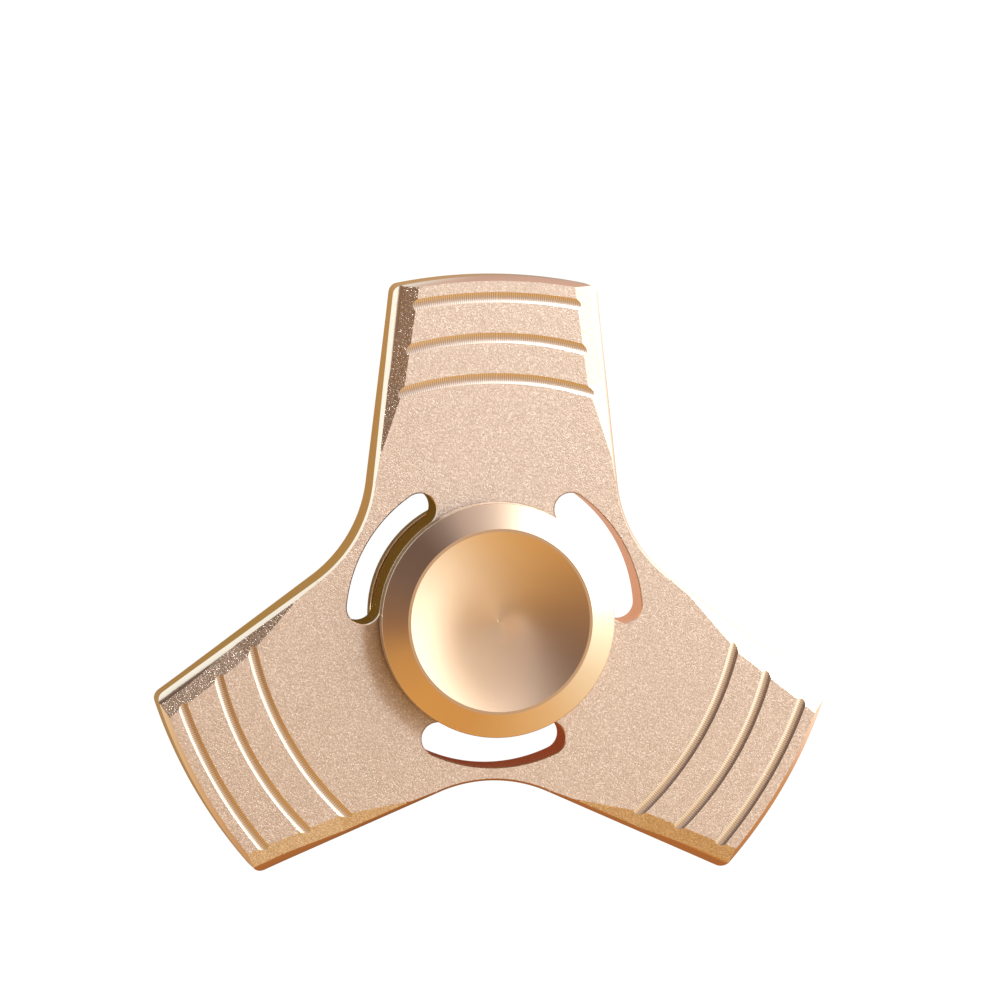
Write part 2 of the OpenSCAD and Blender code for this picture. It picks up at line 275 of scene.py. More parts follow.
def make_studio():
    """The light from all round, by compass direction and height; the camera sees plain white."""
    world = bpy.data.worlds.new("studio")
    bpy.context.scene.world = world
    world.use_nodes = True
    n = Nodes(world.node_tree)
    direction = n.add("SeparateXYZ", Vector=n.add("TexCoord").outputs["Generated"])
    x, y, z = direction.outputs
    off_x = n.math("SUBTRACT", x, MEETING_POINT[0])
    off_y = n.math("SUBTRACT", y, MEETING_POINT[1])
    around = compass(n, off_x, off_y, WALLS)
    cove = compass(n, off_x, off_y, COVE)
    above = compass(n, off_x, off_y, CEILING)
    low = compass(n, x, y, SKIRTING)
    over_cove = n.ramp(z, [(0.45, (0, 0, 0)), (0.70, (1, 1, 1))], "EASE")
    overhead = n.ramp(z, [(0.83, (0, 0, 0)), (0.95, (1, 1, 1))], "EASE")
    horizon = n.ramp(z, [(0.17, (1, 1, 1)), (0.25, (0, 0, 0))], "EASE")
    sides = n.mix(over_cove, around, cove)
    light = n.mix(horizon, n.mix(overhead, sides, above), low)
    seen = n.add("LightPath").outputs["Is Camera Ray"]
    lit = n.add("Background", Color=light, Strength=STUDIO_SCALE)
    plain = n.add("Background", Color=(1, 1, 1, 1), Strength=1.0)
    both = n.add("MixShader")
    n.put(both, "0", seen)
    n.put(both, "1", lit)
    n.put(both, "2", plain)
    n.add("OutputWorld", Surface=both)
    bpy.context.scene.view_settings.view_transform = "Standard"


def make_floor():
    """White paper to the camera, a coloured light to the metal, and clear from below."""
    mesh = bpy.data.meshes.new("floor")
    corners = [(-1, -1), (1, -1), (1, 1), (-1, 1)]
    mesh.from_pydata([(x * FLOOR_HALF_SIZE, y * FLOOR_HALF_SIZE, -CAP_TOP * MM)
                      for x, y in corners], [], [(0, 1, 2, 3)])
    floor = bpy.data.objects.new("floor", mesh)
    bpy.context.scene.collection.objects.link(floor)
    material = bpy.data.materials.new("floor_white")
    material.use_nodes = True
    n = Nodes(material.node_tree)
    geometry = n.add("NewGeometry")
    x, y = n.add("SeparateXYZ", Vector=geometry.outputs["Position"]).outputs[:2]
    radius = n.radius(x, y)
    slots, rim, far = (compass(n, x, y, table) for table in (UNDER_SLOTS, UNDER_RIM, SKIRTING))
    # The tables change over from 13.5 to 15.5 mm from the axis, and from 32 to 48 mm.
    beyond_slots = n.ramp(n.math("MULTIPLY", radius, 20), [(0.27, (0, 0, 0)), (0.31, (1, 1, 1))])
    beyond_rim = n.ramp(n.math("MULTIPLY", radius, 10), [(0.32, (0, 0, 0)), (0.48, (1, 1, 1))])
    colour = n.mix(beyond_rim, n.mix(beyond_slots, slots, rim), far)
    warm = n.add("Emission", Color=colour, Strength=STUDIO_SCALE)
    paper = n.add("AddShader")
    n.put(paper, "0", n.add("Emission", Color=(1, 1, 1, 1), Strength=1.0))
    n.put(paper, "1", n.add("BsdfDiffuse", Color=(0.05, 0.05, 0.05, 1)))
    shown = n.add("MixShader")
    n.put(shown, "0", n.add("LightPath").outputs["Is Camera Ray"])
    n.put(shown, "1", warm)
    n.put(shown, "2", paper)
    under = n.add("MixShader")
    n.put(under, "0", geometry.outputs["Backfacing"])
    n.put(under, "1", shown)
    n.put(under, "2", n.add("BsdfTransparent"))
    n.add("OutputMaterial", Surface=under)
    mesh.materials.append(material)


# ---------------------------------------------------------------- materials

# Pitch of the tool ridges in a groove, in millimetres; the noise scales are per metre.
RIDGE_PITCH = 0.19
RING_SCALE = 9000.0
BLAST_SCALE = 12000.0
SPECK_SCALE = 9000.0

BRIGHT = (0.90, 0.66, 0.46)
# Blasted metal's darkest and lightest grains, and the tone that it drifts to.
FACE_TONES = ((0.405, 0.288, 0.205), (0.81, 0.605, 0.45), (0.60, 0.437, 0.315))
BEVEL_TONES = ((0.46, 0.335, 0.235), (0.99, 0.76, 0.55), (0.84, 0.62, 0.43))
SPECK = (1.0, 0.92, 0.82)
# The cap's wall takes a paler tone than BRIGHT: painted light, lightening it like the bright face
# that it reflects.
CAP_WALL_PAINTED_LIGHT = (0.95, 0.82, 0.66)
GROOVE_TONE = (0.90, 0.70, 0.53)


def new_material(name):
    """A new material, and the Nodes that write its tree."""
    material = bpy.data.materials.new(name)
    material.use_nodes = True
    return material, Nodes(material.node_tree)


def metal(n, colour, roughness, normal, **sockets):
    bsdf = n.add("BsdfPrincipled", Metallic=1.0, Base_Color=colour, Roughness=roughness,
                 Normal=normal, **sockets)
    n.add("OutputMaterial", Surface=bsdf)


def blasted_metal(name, tones, roughness, depth):
    """Bead-blasted anodising: fine bright and dark grains, with a slow drift of tone."""
    material, n = new_material(name)
    place = n.add("TexCoord").outputs["Object"]
    grain = n.add("TexNoise", Vector=place, Scale=BLAST_SCALE, Detail=1.0, Roughness=0.5)
    facets = n.add("TexVoronoi", Vector=place, Scale=SPECK_SCALE)
    sparkle = n.add("SeparateColor", Color=facets.outputs["Color"]).outputs["Red"]
    drift = n.add("TexNoise", Vector=place, Scale=160.0, Detail=2.0)
    share = n.math("ADD", n.math("MULTIPLY", grain.outputs["Fac"], 0.5),
                   n.math("MULTIPLY", sparkle, 0.5))
    colour = n.mix(share, tones[0], tones[1])
    speck = n.ramp(sparkle, [(0.90, (0, 0, 0)), (0.94, (1, 1, 1))])
    colour = n.mix(n.math("MULTIPLY", speck, 0.25), colour, SPECK)
    colour = n.mix(n.math("MULTIPLY", drift.outputs["Fac"], 0.25), colour, tones[2])
    bump = n.add("Bump", Strength=depth, Distance=0.00004, Height=share)
    rough = n.math("ADD", roughness, n.math("MULTIPLY", grain.outputs["Fac"], 0.14))
    metal(n, colour, rough, bump.outputs["Normal"])
    return material


def bright_cut(name, colour, roughness, scale, strength):
    """Smooth milled and anodised metal with faint tool marks."""
    material, n = new_material(name)
    place = n.add("TexCoord").outputs["Object"]
    marks = n.add("TexNoise", Vector=place, Scale=scale, Detail=4.0, Roughness=0.6)
    cloud = n.add("TexNoise", Vector=place, Scale=240.0, Detail=2.0)
    darker = tuple(c * 0.88 for c in colour)
    tone = n.mix(cloud.outputs["Fac"], darker, colour)
    bump = n.add("Bump", Strength=strength, Distance=0.00003, Height=marks.outputs["Fac"])
    rough = n.math("ADD", roughness, n.math("MULTIPLY", marks.outputs["Fac"], 0.08))
    metal(n, tone, rough, bump.outputs["Normal"])
    return material


def ridged_metal(name, colour, roughness):
    """The bottom of a milled groove: tool ridges across it, at a steady pitch, with painted shade
    that darkens the tone in step with the ridges.
    """
    material, n = new_material(name)
    marks = n.add("UVMap", {"uv_map": "marks"})
    along = n.add("SeparateXYZ", Vector=marks.outputs[0]).outputs["X"]
    ridge = n.math("SINE", n.math("MULTIPLY", along, 2 * math.pi / RIDGE_PITCH))
    place = n.add("TexCoord").outputs["Object"]
    rough_spots = n.add("TexNoise", Vector=place, Scale=6000.0, Detail=2.0)
    height = n.math("ADD", n.math("MULTIPLY", ridge, 0.5), rough_spots.outputs["Fac"])
    bump = n.add("Bump", Strength=0.2, Distance=0.00001, Height=height)
    # Painted shade: the tone is darker on one side of every ridge, in step with its bump.
    darker = tuple(c * 0.76 for c in colour)
    tone = n.mix(n.math("ADD", n.math("MULTIPLY", ridge, 0.5), 0.5), darker, colour)
    rough = n.math("ADD", roughness, n.math("MULTIPLY", rough_spots.outputs["Fac"], 0.1))
    metal(n, tone, rough, bump.outputs["Normal"])
    return material


def turned_metal(name, colour, roughness, anisotropy):
    """Lathe-turned metal: fine rings round the axis, stretched highlights."""
    material, n = new_material(name)
    place = n.add("TexCoord").outputs["Object"]
    x, y, z = n.add("SeparateXYZ", Vector=place).outputs
    radius = n.radius(x, y)
    rings = n.add("TexNoise", {"noise_dimensions": "2D"}, Scale=1.0, Detail=3.0, Roughness=0.7,
                  Vector=n.add("CombineXYZ", X=n.math("MULTIPLY", radius, RING_SCALE),
                               Y=n.math("MULTIPLY", z, RING_SCALE)))
    cloud = n.add("TexNoise", Vector=place, Scale=180.0, Detail=2.0)
    tone = n.mix(cloud.outputs["Fac"], tuple(c * 0.9 for c in colour), colour)
    bump = n.add("Bump", Strength=0.04, Distance=0.00001, Height=rings.outputs["Fac"])
    tangent = n.add("Tangent", {"direction_type": "RADIAL", "axis": "Z"})
    rough = n.math("ADD", roughness, n.math("MULTIPLY", rings.outputs["Fac"], 0.06))
    metal(n, tone, rough, bump.outputs["Normal"], Anisotropic=anisotropy,
          Tangent=tangent.outputs[0])
    return material


# ---------------------------------------------------------------- the body as a height field

# One arm is drawn in u, across it, and v, along it. Half an arm, out to the middle of the
# waist, is meshed once and then turned and mirrored into the whole body.

ARMS = 3
WAIST_TURN = math.radians(30)
FLANK_OUT = np.array((math.cos(ARM_TAPER), math.sin(ARM_TAPER)))
FLANK_ALONG = np.array((-math.sin(ARM_TAPER), math.cos(ARM_TAPER)))
FLANK_DISTANCE = ARM_HALF_WIDTH * math.cos(ARM_TAPER)
WAIST_LEAN = math.cos(WAIST_TURN - ARM_TAPER)
WAIST_RADIUS = (WAIST_REACH * WAIST_LEAN - FLANK_DISTANCE) / (1 - WAIST_LEAN)
WAIST_OUT = np.array((math.cos(WAIST_TURN), math.sin(WAIST_TURN)))
WAIST_CENTRE = (WAIST_REACH + WAIST_RADIUS) * WAIST_OUT
WAIST_TOUCH = WAIST_CENTRE - FLANK_OUT * WAIST_RADIUS
TIP_CENTRE = np.array((0.0, ARM_REACH - TIP_RADIUS))
CORNER_ACROSS = FLANK_DISTANCE - CORNER_RADIUS - TIP_CENTRE[1] * math.sin(ARM_TAPER)
CORNER_ALONG = math.sqrt((TIP_RADIUS - CORNER_RADIUS) ** 2 - CORNER_ACROSS ** 2)
CORNER_CENTRE = TIP_CENTRE + FLANK_OUT * CORNER_ACROSS + FLANK_ALONG * CORNER_ALONG
SLOT_END = WAIST_TURN + SLOT_HALF_SWEEP
GROOVE_SECTION = ((GROOVE_WIDTH / 2) ** 2 + GROOVE_DEPTH ** 2) / (2 * GROOVE_DEPTH)
CHAMFER_ROUNDING = 0.62
# What the chamfer normal's lean is multiplied by, at the outline and then at its inner edge.
EDGE_LEANS = (1.4, 0.74)
# The mesh's steps: inside, along arcs and lines of the outline, and round its tight ends.
FINE_STEP = 0.2
ARC_STEP = 1.2 * FINE_STEP
LINE_STEP = 1.4 * FINE_STEP
CORNER_STEP = 0.1
SLOT_END_STEP = 0.15
COARSE_EVERY = 3
# How far apart a surface is sampled for its slope, and what counts as zero.
PROBE = 1e-4
TINY = 1e-6
# Corners this near become one point. The offset keeps the weld grid's lines off the points.
WELD = 0.002
WELD_OFFSET = 0.317
FAR_UP = 50.0

# Which surface each row of heights() is, and the body material that it takes.
ROWS = ["face", "bevel", "bevel", "chamfer", "chamfer", "chamfer", "chamfer", "mouth",
        "groove", "groove", "groove"]
TIP_ROW = 5
BODY_MATERIALS = ["face", "bevel", "chamfer", "mouth", "groove", "wall"]


def heights(points, bounded=True):
    """The height of every surface over these points, one row for each of ROWS. A surface that
    only cuts a part of the body is far up elsewhere, if bounded."""
    u, v = points[:, 0], points[:, 1]
    rows = [np.full(len(points), HALF_BODY)]
    for lean in BEVEL_LEANS:
        out = (u - BEVEL_KINK[0]) * math.cos(lean) + (v - BEVEL_KINK[1]) * math.sin(lean)
        rows.append(HALF_BODY - out * math.tan(BEVEL_SLOPE))
    beyond = points @ FLANK_OUT - FLANK_DISTANCE
    fall = math.atan((FLANK_DROP - WAIST_CHAMFER) / (FLANK_DROP_REACH - WAIST_TOUCH[1]))
    low_point = np.array((ARM_HALF_WIDTH - FLANK_DROP_REACH * math.tan(ARM_TAPER),
                          FLANK_DROP_REACH))
    along = (points - low_point) @ FLANK_ALONG
    for lean in (0.0, fall):
        sloped = HALF_BODY - FLANK_DROP - beyond / math.cos(lean) - along * math.tan(lean)
        rows.append(np.where(v > WAIST_TOUCH[1], sloped, FAR_UP) if bounded else sloped)
    from_tip = np.linalg.norm(points - TIP_CENTRE, axis=1)
    rows.append(HALF_BODY - TIP_CHAMFER + TIP_RADIUS - from_tip)
    from_waist = np.linalg.norm(points - WAIST_CENTRE, axis=1)
    rows.append(HALF_BODY - WAIST_CHAMFER + from_waist - WAIST_RADIUS)
    radius, turn = np.hypot(u, v), np.arctan2(v, u)
    end = SLOT_PATH * np.array((math.cos(SLOT_END), math.sin(SLOT_END)))
    from_path = np.where(turn < SLOT_END, np.abs(radius - SLOT_PATH),
                         np.linalg.norm(points - end, axis=1))
    rows.append(HALF_BODY - SLOT_CHAMFER + from_path - SLOT_HALF_WIDTH)
    for reach, bow in zip(GROOVE_REACHES, GROOVE_BOWS):
        off = np.hypot(u, v - (reach - bow)) - bow
        inside = np.maximum(GROOVE_SECTION ** 2 - off ** 2, 0)
        bottom = HALF_BODY - GROOVE_DEPTH + GROOVE_SECTION - np.sqrt(inside)
        near = np.abs(off) < 0.7 * GROOVE_WIDTH
        rows.append(np.where(near, bottom, FAR_UP) if bounded else bottom)
    return np.array(rows)


def lowest(points):
    """The body's height over these points, and which row of heights() gives it."""
    rows = heights(points)
    order = np.arange(len(points))
    bevel = np.where(rows[1] >= rows[2], 1, 2)
    flank = np.where(rows[3] >= rows[4], 3, 4)
    choices = [np.zeros(len(points), int), bevel, flank]
    choices += [np.full(len(points), row) for row in range(TIP_ROW, len(ROWS))]
    choices = np.array(choices)
    best = np.argmin(rows[choices, order], axis=0)
    label = choices[best, order]
    return rows[label, order], label


def distance_to_edge(points, label):
    """How far inside the outline these points are: from the tip for the tip's own chamfer,
    and from the flank or the waist for the others."""
    beyond = points @ FLANK_OUT - FLANK_DISTANCE
    from_tip = TIP_RADIUS - np.linalg.norm(points - TIP_CENTRE, axis=1)
    from_waist = np.linalg.norm(points - WAIST_CENTRE, axis=1) - WAIST_RADIUS
    flank = np.where(points[:, 1] > WAIST_TOUCH[1], -beyond, from_waist)
    return np.where(label == TIP_ROW, from_tip, flank)


def surface_normals(points, label):
    """Upward unit normals, at these points, of the surfaces with these labels. The chamfer's
    two edges are a little rounded by wear, in the normals only."""
    order = np.arange(len(points))
    slope = []
    for shift in ((PROBE, 0), (0, PROBE)):
        ahead = heights(points + np.array(shift), False)[label, order]
        behind = heights(points - np.array(shift), False)[label, order]
        slope.append((ahead - behind) / (2 * PROBE))
    normals = np.stack([-slope[0], -slope[1], np.ones(len(points))], axis=1)
    kind = np.array(ROWS)[label]
    from_edge = np.clip(distance_to_edge(points, label) / CHAMFER_ROUNDING, 0, 1)
    lean = EDGE_LEANS[0] + (EDGE_LEANS[1] - EDGE_LEANS[0]) * from_edge
    soft = np.where(kind == "chamfer", lean, 1.0)
    normals[:, :2] *= soft[:, None]
    return normals / np.linalg.norm(normals, axis=1)[:, None]


def arc(centre, radius, start, end, step=ARC_STEP):
    count = max(2, round(abs(end - start) * radius / step))
    turns = np.linspace(start, end, count + 1)
    return centre + radius * np.stack([np.cos(turns), np.sin(turns)], axis=1)


def line(start, end):
    start, end = np.array(start, float), np.array(end, float)
    count = max(2, round(np.linalg.norm(end - start) / LINE_STEP))
    return start + (end - start) * np.linspace(0, 1, count + 1)[:, None]


def half_arm_outline():
    """The closed edge of the half arm, anticlockwise from the bore's edge at the waist."""
    middle = np.zeros(2)
    tip_lean = math.atan2(CORNER_CENTRE[1] - TIP_CENTRE[1], CORNER_CENTRE[0])
    corner = arc(CORNER_CENTRE, CORNER_RADIUS, ARM_TAPER, tip_lean, CORNER_STEP)
    slot_in, slot_out = SLOT_PATH - SLOT_HALF_WIDTH, SLOT_PATH + SLOT_HALF_WIDTH
    end = SLOT_PATH * np.array((math.cos(SLOT_END), math.sin(SLOT_END)))
    sections = [
        line(BORE_WALL * WAIST_OUT, slot_in * WAIST_OUT),
        arc(middle, slot_in, WAIST_TURN, SLOT_END),
        arc(end, SLOT_HALF_WIDTH, SLOT_END + math.pi, SLOT_END, SLOT_END_STEP),
        arc(middle, slot_out, SLOT_END, WAIST_TURN),
        line(slot_out * WAIST_OUT, WAIST_REACH * WAIST_OUT),
        arc(WAIST_CENTRE, WAIST_RADIUS, math.pi + WAIST_TURN, math.pi + ARM_TAPER),
        line(WAIST_TOUCH, corner[0]),
        corner,
        arc(TIP_CENTRE, TIP_RADIUS, tip_lean, math.pi / 2),
        line((0, ARM_REACH), (0, BORE_WALL)),
        arc(middle, BORE_WALL, math.pi / 2, WAIST_TURN),
    ]
    return np.concatenate([section[:-1] for section in sections])


def triangulate(edge):
    """Points and triangles inside the edge: fine where the surface changes, else coarse."""
    low, high = edge.min(axis=0), edge.max(axis=0)
    rise = FINE_STEP * math.sqrt(3) / 2
    columns = int((high[0] - low[0]) / FINE_STEP) + 2
    lines = int((high[1] - low[1]) / rise) + 2
    i, j = np.meshgrid(np.arange(columns), np.arange(lines))
    i, j = i.ravel(), j.ravel()
    grid = low + np.stack([(i + 0.5 * (j % 2)) * FINE_STEP, j * rise], axis=1)
    label = lowest(grid)[1]
    calm = np.ones(len(grid), bool)
    for turn in range(8):
        shift = np.array((math.cos(turn * math.pi / 4), math.sin(turn * math.pi / 4)))
        calm &= lowest(grid + shift * FINE_STEP * 1.6)[1] == label
    calm &= np.array([ROWS[row] for row in label]) != "groove"
    keep = ~calm | ((i % COARSE_EVERY == 0) & (j % COARSE_EVERY == 0))
    grid = grid[keep]
    gap = np.min(np.linalg.norm(grid[:, None] - edge[None], axis=2), axis=1)
    grid = grid[gap > 0.7 * FINE_STEP]
    points = np.concatenate([edge, grid])
    loop = list(range(len(edge)))
    found = delaunay_2d_cdt([Vector(p) for p in points], [], [loop], 1, 1e-7)
    return np.array([tuple(p) for p in found[0]]), np.array(found[2])


def junction(corners, labels):
    """The point in a triangle where its three corners' surfaces meet."""
    place = corners.mean(axis=0)
    for _ in range(6):
        near = np.array([place, place + (PROBE, 0), place + (0, PROBE)])
        level = heights(near)[list(labels)]
        gaps = level[1:] - level[0]
        slopes = (gaps[:, 1:] - gaps[:, :1]) / PROBE
        if abs(np.linalg.det(slopes)) < TINY:
            break
        place = place - np.linalg.solve(slopes, gaps[:, 0])
    shares = np.linalg.solve(np.vstack([corners.T, np.ones(3)]), np.append(place, 1))
    return place if shares.min() > 0.02 else corners.mean(axis=0)


def split_at_creases(points, triangles):
    """Cuts the triangles where the lowest surface changes; gives each its surface's row."""
    label = lowest(points)[1]
    pairs = np.concatenate([triangles[:, [0, 1]], triangles[:, [1, 2]], triangles[:, [2, 0]]])
    pairs = np.unique(np.sort(pairs, axis=1), axis=0)
    pairs = pairs[label[pairs[:, 0]] != label[pairs[:, 1]]]
    near, distant = points[pairs[:, 0]], points[pairs[:, 1]]
    for _ in range(32):
        middle = (near + distant) / 2
        same = (lowest(middle)[1] == label[pairs[:, 0]])[:, None]
        near, distant = np.where(same, middle, near), np.where(same, distant, middle)
    cut = {tuple(pair): len(points) + k for k, pair in enumerate(pairs)}
    made = [*points, *((near + distant) / 2)]
    out, rows = [], []

    def at(a, b):
        return cut[(a, b) if a < b else (b, a)]

    for a, b, c in triangles:
        kinds = (label[a], label[b], label[c])
        if kinds[0] == kinds[1] == kinds[2]:
            out.append((a, b, c))
            rows.append(kinds[0])
        elif len(set(kinds)) == 2:
            while label[b] != label[c]:
                a, b, c = b, c, a
            ab, ca = at(a, b), at(c, a)
            out += [(a, ab, ca), (ab, b, c), (ab, c, ca)]
            rows += [label[a], label[b], label[b]]
        else:
            ab, bc, ca, middle = at(a, b), at(b, c), at(c, a), len(made)
            made.append(junction(points[[a, b, c]], kinds))
            out += [(a, ab, middle), (a, middle, ca), (b, bc, middle), (b, middle, ab),
                    (c, ca, middle), (c, middle, bc)]
            rows += [kinds[0], kinds[0], kinds[1], kinds[1], kinds[2], kinds[2]]
    return np.array(made), np.array(out), np.array(rows)


def wall_edges(points, triangles):
    """The sheet's open edges that are real walls, and the wall's normal at each point."""
    used = {}
    for a, b, c in triangles:
        for pair in ((a, b), (b, c), (c, a)):
            used[pair] = True
    edges = np.array([pair for pair in used if (pair[1], pair[0]) not in used])
    across = np.array((-WAIST_OUT[1], WAIST_OUT[0]))
    on_axis = np.abs(points[:, 0]) < TINY
    on_waist = np.abs(points @ across) < TINY
    inner = on_axis[edges].all(axis=1) | on_waist[edges].all(axis=1)
    edges = edges[~inner]
    along = points[edges[:, 1]] - points[edges[:, 0]]
    out = np.stack([along[:, 1], -along[:, 0]], axis=1)
    out /= np.linalg.norm(out, axis=1)[:, None]
    normals = np.zeros((len(points), 2))
    for k in (0, 1):
        np.add.at(normals, edges[:, k], out)
    # At the two mirror lines a wall's normal lies in the mirror.
    normals[on_axis, 0] = 0
    normals[on_waist] -= np.outer(normals[on_waist] @ across, across)
    length = np.linalg.norm(normals, axis=1)
    normals[length > 0] /= length[length > 0][:, None]
    return edges, normals


class Sheets:
    """Gathers faces with a material, corner normals and corner UVs into one mesh."""

    def __init__(self):
        self.points, self.faces, self.normals, self.uvs, self.slots = [], [], [], [], []

    def add(self, corners, normals, uvs, slot):
        """corners and normals are (n, k, 3), uvs (n, k, 2), slot one or n numbers."""
        self.points.append(corners)
        self.normals.append(normals)
        self.uvs.append(uvs)
        self.slots.append(np.broadcast_to(slot, len(corners)))

    def mesh(self, name, materials):
        """One welded mesh, in metres."""
        corners = np.concatenate([p.reshape(-1, 3) for p in self.points])
        normals = np.concatenate([p.reshape(-1, 3) for p in self.normals])
        uvs = np.concatenate([p.reshape(-1, 2) for p in self.uvs])
        slots = np.concatenate(self.slots)
        sizes = np.concatenate([np.full(len(p), p.shape[1]) for p in self.points])
        keys = np.floor(corners / WELD + WELD_OFFSET).astype(int)
        _, first, index = np.unique(keys, axis=0, return_index=True, return_inverse=True)
        index = index.ravel()
        starts = np.concatenate([[0], np.cumsum(sizes)])
        faces, chosen, kept = [], [], []
        for f in range(len(sizes)):
            ring = list(range(starts[f], starts[f + 1]))
            ring = [c for k, c in enumerate(ring) if index[c] != index[ring[k - 1]]]
            if len(ring) > 2 and len({index[c] for c in ring}) == len(ring):
                faces.append([int(index[c]) for c in ring])
                chosen += ring
                kept.append(slots[f])
        mesh = bpy.data.meshes.new(name)
        mesh.from_pydata((corners[first] * MM).tolist(), [], faces)
        for material in materials:
            mesh.materials.append(material)
        mesh.polygons.foreach_set("material_index", np.array(kept, np.int32))
        mesh.polygons.foreach_set("use_smooth", np.ones(len(faces), bool))
        layer = mesh.uv_layers.new(name="marks")
        layer.data.foreach_set("uv", uvs[chosen].astype(np.float32).ravel())
        mesh.normals_split_custom_set(normals[chosen].tolist())
        mesh.update()
        thing = bpy.data.objects.new(name, mesh)
        bpy.context.scene.collection.objects.link(thing)
        return thing


def body_mesh(materials):
    """The body's skin: half an arm's sheet and walls, mirrored and turned into all six halves."""
    points, triangles = triangulate(half_arm_outline())
    points, triangles, rows = split_at_creases(points, triangles)
    level = lowest(points)[0]
    corners = points[triangles]
    flat = corners.reshape(-1, 2)
    normals = surface_normals(flat, np.repeat(rows, 3)).reshape(-1, 3, 3)
    solid = np.dstack([corners, level[triangles][:, :, None]])
    slot = np.array([BODY_MATERIALS.index(ROWS[row]) for row in rows])
    uvs = corners.copy()
    for k, (reach, bow) in enumerate(zip(GROOVE_REACHES, GROOVE_BOWS)):
        mine = rows == len(ROWS) - len(GROOVE_REACHES) + k
        from_centre = corners[mine] - np.array((0, reach - bow))
        turn = np.arctan2(from_centre[:, :, 0], from_centre[:, :, 1])
        off = np.linalg.norm(from_centre, axis=2) - bow
        uvs[mine] = np.dstack([turn * bow, off])
    edges, wall_normals = wall_edges(points, triangles)
    top = np.dstack([points[edges], level[edges][:, :, None]])
    bottom = top * (1, 1, -1)
    wall = np.stack([top[:, 1], top[:, 0], bottom[:, 0], bottom[:, 1]], axis=1)
    ends = wall_normals[edges]
    ends = np.dstack([ends, np.zeros(ends.shape[:2])])
    wall_turns = np.stack([ends[:, 1], ends[:, 0], ends[:, 0], ends[:, 1]], axis=1)
    length = np.linalg.norm(points[edges[:, 1]] - points[edges[:, 0]], axis=1).cumsum()
    wall_uvs = np.stack([np.repeat(length, 4).reshape(-1, 4), wall[:, :, 2]], axis=2)
    sheets = Sheets()
    for arm in range(ARMS):
        a = 2 * math.pi * arm / ARMS
        turn = np.array(((math.cos(a), math.sin(a), 0), (-math.sin(a), math.cos(a), 0),
                         (0, 0, 1)))
        for side in (1, -1):
            flip = np.array((side, 1, 1))
            order = slice(None, None, side)
            for up in (1, -1):
                over = slice(None, None, side * up)
                lift = flip * (1, 1, up)
                sheets.add(((solid * lift) @ turn)[:, over], ((normals * lift) @ turn)[:, over],
                           uvs[:, over], slot)
            sheets.add(((wall * flip) @ turn)[:, order], ((wall_turns * flip) @ turn)[:, order],
                       wall_uvs[:, order], BODY_MATERIALS.index("wall"))
    return sheets.mesh("spinner_body_skin", [materials[name] for name in BODY_MATERIALS])


# ---------------------------------------------------------------- turned pieces

TURNED_STEPS = 288
FILLET_POINTS = 7
DISH_RINGS = 40
CAP_MATERIALS = ["turned", "dish", "wall"]


def filleted(profile):
    """Strips of (point, outward normal) along an (r, z, fillet) profile, its right side out."""
    places = [np.array(p[:2], float) for p in profile]
    strips, start = [], places[0]
    for k in range(1, len(profile)):
        step = places[k] - places[k - 1]
        step = step / np.linalg.norm(step)
        out = np.array((step[1], -step[0]))
        if k == len(profile) - 1 or not profile[k][2]:
            strips.append([(start, out), (places[k], out)])
            start = places[k]
            continue
        onward = places[k + 1] - places[k]
        onward = onward / np.linalg.norm(onward)
        out_next = np.array((onward[1], -onward[0]))
        bend = math.atan2(step[0] * onward[1] - step[1] * onward[0], step @ onward)
        cut = profile[k][2] * math.tan(abs(bend) / 2)
        enter, leave = places[k] - step * cut, places[k] + onward * cut
        strips.append([(start, out), (enter, out)])
        side = 1 if bend > 0 else -1
        centre = enter - out * profile[k][2] * side
        round_off = []
        for share in np.linspace(0, 1, FILLET_POINTS):
            normal = out * math.sin((1 - share) * abs(bend))
            normal = normal + out_next * math.sin(share * abs(bend))
            normal = normal / np.linalg.norm(normal)
            round_off.append((centre + normal * profile[k][2] * side, normal))
        strips.append(round_off)
        start = leave
    return strips


def lathe(sheets, strips, slot, up):
    """Turns strips of (point, normal) round Z; up is 1, or -1 for the mirrored piece."""
    turns = np.linspace(0, 2 * math.pi, TURNED_STEPS + 1)
    turns[-1] = 0
    for strip in strips:
        for (p, n), (q, m) in zip(strip[:-1], strip[1:]):
            rings, facing = [], []
            for (r, z), (out, rise) in ((p, n), (q, m)):
                rings.append(np.stack([r * np.cos(turns), r * np.sin(turns),
                                       np.full(len(turns), z * up)], axis=1))
                facing.append(np.stack([out * np.cos(turns), out * np.sin(turns),
                                        np.full(len(turns), rise * up)], axis=1))
            quads = np.stack([rings[0][:-1], rings[0][1:], rings[1][1:], rings[1][:-1]], axis=1)
            faces = np.stack([facing[0][:-1], facing[0][1:], facing[1][1:], facing[1][:-1]],
                             axis=1)
            uvs = np.zeros(quads.shape[:2] + (2,))
            order = slice(None, None, up)
            sheets.add(quads[:, order], faces[:, order], uvs[:, order], slot)


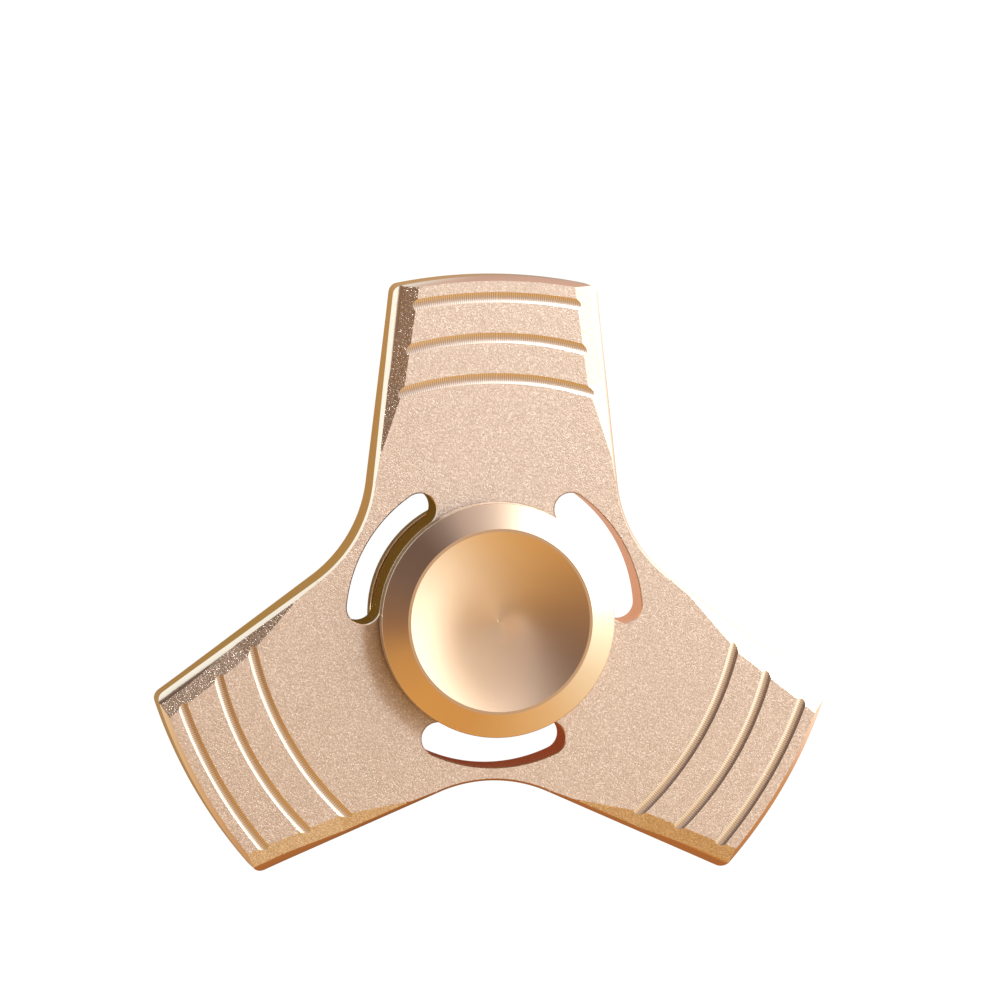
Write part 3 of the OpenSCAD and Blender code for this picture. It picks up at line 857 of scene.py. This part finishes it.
def cap_mesh(name, up, materials):
    """A finger cap: outside, then the dish, which is a shallow part of a sphere."""
    sphere = (DISH_RADIUS ** 2 + DISH_DEPTH ** 2) / (2 * DISH_DEPTH)
    dish_centre = CAP_TOP - DISH_DEPTH + sphere
    outside = [
        (0, STUD_HOLE_TOP, 0), (STUD_HOLE_RADIUS, STUD_HOLE_TOP, 0),
        (STUD_HOLE_RADIUS, PILOT_END, EDGE_AT_HOLE), (PILOT_RADIUS, PILOT_END, EDGE_AT_PILOT),
        (PILOT_RADIUS, HALF_BEARING, 0), (BOSS_RADIUS, HALF_BEARING, EDGE_AT_BOSS),
        (BOSS_RADIUS, CAP_UNDERSIDE, EDGE_AT_BOSS),
        (CAP_RADIUS, CAP_UNDERSIDE, EDGE_AT_UNDERSIDE),
        (CAP_RADIUS, CAP_WALL_TOP - WALL_TOP_SETBACK, EDGE_AT_WALL_TOP),
        (CAP_RIM_RADIUS, CAP_TOP, EDGE_AT_RIM), (DISH_RADIUS, CAP_TOP, 0),
    ]
    dish = []
    for r in np.linspace(DISH_RADIUS, DISH_MARK_RADIUS, DISH_RINGS):
        out = np.array((-r / sphere, math.sqrt(1 - (r / sphere) ** 2)))
        dish.append((np.array((r, dish_centre - math.sqrt(sphere ** 2 - r ** 2))), out))
    bottom = CAP_TOP - DISH_DEPTH - DISH_MARK_SLOPE * DISH_MARK_RADIUS
    pit_out = np.array((-DISH_MARK_SLOPE, 1)) / math.hypot(DISH_MARK_SLOPE, 1)
    pit = [(dish[-1][0], pit_out), (np.array((0, bottom)), pit_out)]
    sheets = Sheets()
    for strip in filleted(outside):
        upright = min(strip[0][0][0], strip[-1][0][0]) > CAP_RADIUS - 0.02
        lathe(sheets, [strip], CAP_MATERIALS.index("wall" if upright else "turned"), up)
    lathe(sheets, [dish, pit], CAP_MATERIALS.index("dish"), up)
    return sheets.mesh(name, [materials[surface] for surface in CAP_MATERIALS])


# ---------------------------------------------------------------- put together

def show(thing, body):
    """Moves a piece with a body of the frame."""
    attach(thing, body)


def build():
    """Makes every piece and material; returns the body's skin."""
    body_materials = {
        "face": blasted_metal("blasted_champagne", FACE_TONES, 0.40, 0.5),
        "bevel": blasted_metal("bevel_fine_blasted", BEVEL_TONES, 0.19, 0.4),
        "chamfer": bright_cut("chamfer_bright", BRIGHT, 0.12, 700.0, 0.2),
        "mouth": bright_cut("mouth_bright", BRIGHT, 0.2, 700.0, 0.2),
        "groove": ridged_metal("groove_ridged", GROOVE_TONE, 0.17),
        "wall": bright_cut("wall_milled", BRIGHT, 0.22, 700.0, 0.3),
    }
    skin = body_mesh(body_materials)
    show(skin, "rotor")
    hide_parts("spinner_body")
    cap_materials = {
        "turned": turned_metal("cap_turned", BRIGHT, 0.14, 0.5),
        "dish": turned_metal("cap_dish", BRIGHT, 0.2, 0.8),
        # The wall's paler tone is painted light, not a different metal.
        "wall": turned_metal("cap_wall", CAP_WALL_PAINTED_LIGHT, 0.38, 0.0),
    }
    for name, up in (("top_cap", 1), ("bottom_cap", -1)):
        cap = cap_mesh(name + "_turned", up, cap_materials)
        show(cap, "core")
        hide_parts(name)
    steel = bright_cut("ring_steel", (0.62, 0.62, 0.63), 0.18, 900.0, 0.15)
    ball = bright_cut("ball_steel_polished", (0.72, 0.72, 0.73), 0.05, 500.0, 0.05)
    pressed = bright_cut("shield_steel_pressed", (0.58, 0.58, 0.59), 0.32, 1500.0, 0.4)
    brass = bright_cut("cage_brass_pressed", (0.78, 0.57, 0.24), 0.3, 1300.0, 0.4)
    for name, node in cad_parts.items():
        if node.hide_render:
            continue
        if name.startswith("bearing_ball"):
            material = ball
        elif name.startswith("shield") or name.startswith("snap") or name == "axle_stud":
            material = pressed
        elif name in ("cage_upper", "cage_lower"):
            material = brass
        else:
            material = steel
        node.data.materials.clear()
        node.data.materials.append(material)
    return skin


body_skin = build()
make_floor()
make_studio()
make_key_light(body_skin)
make_camera()
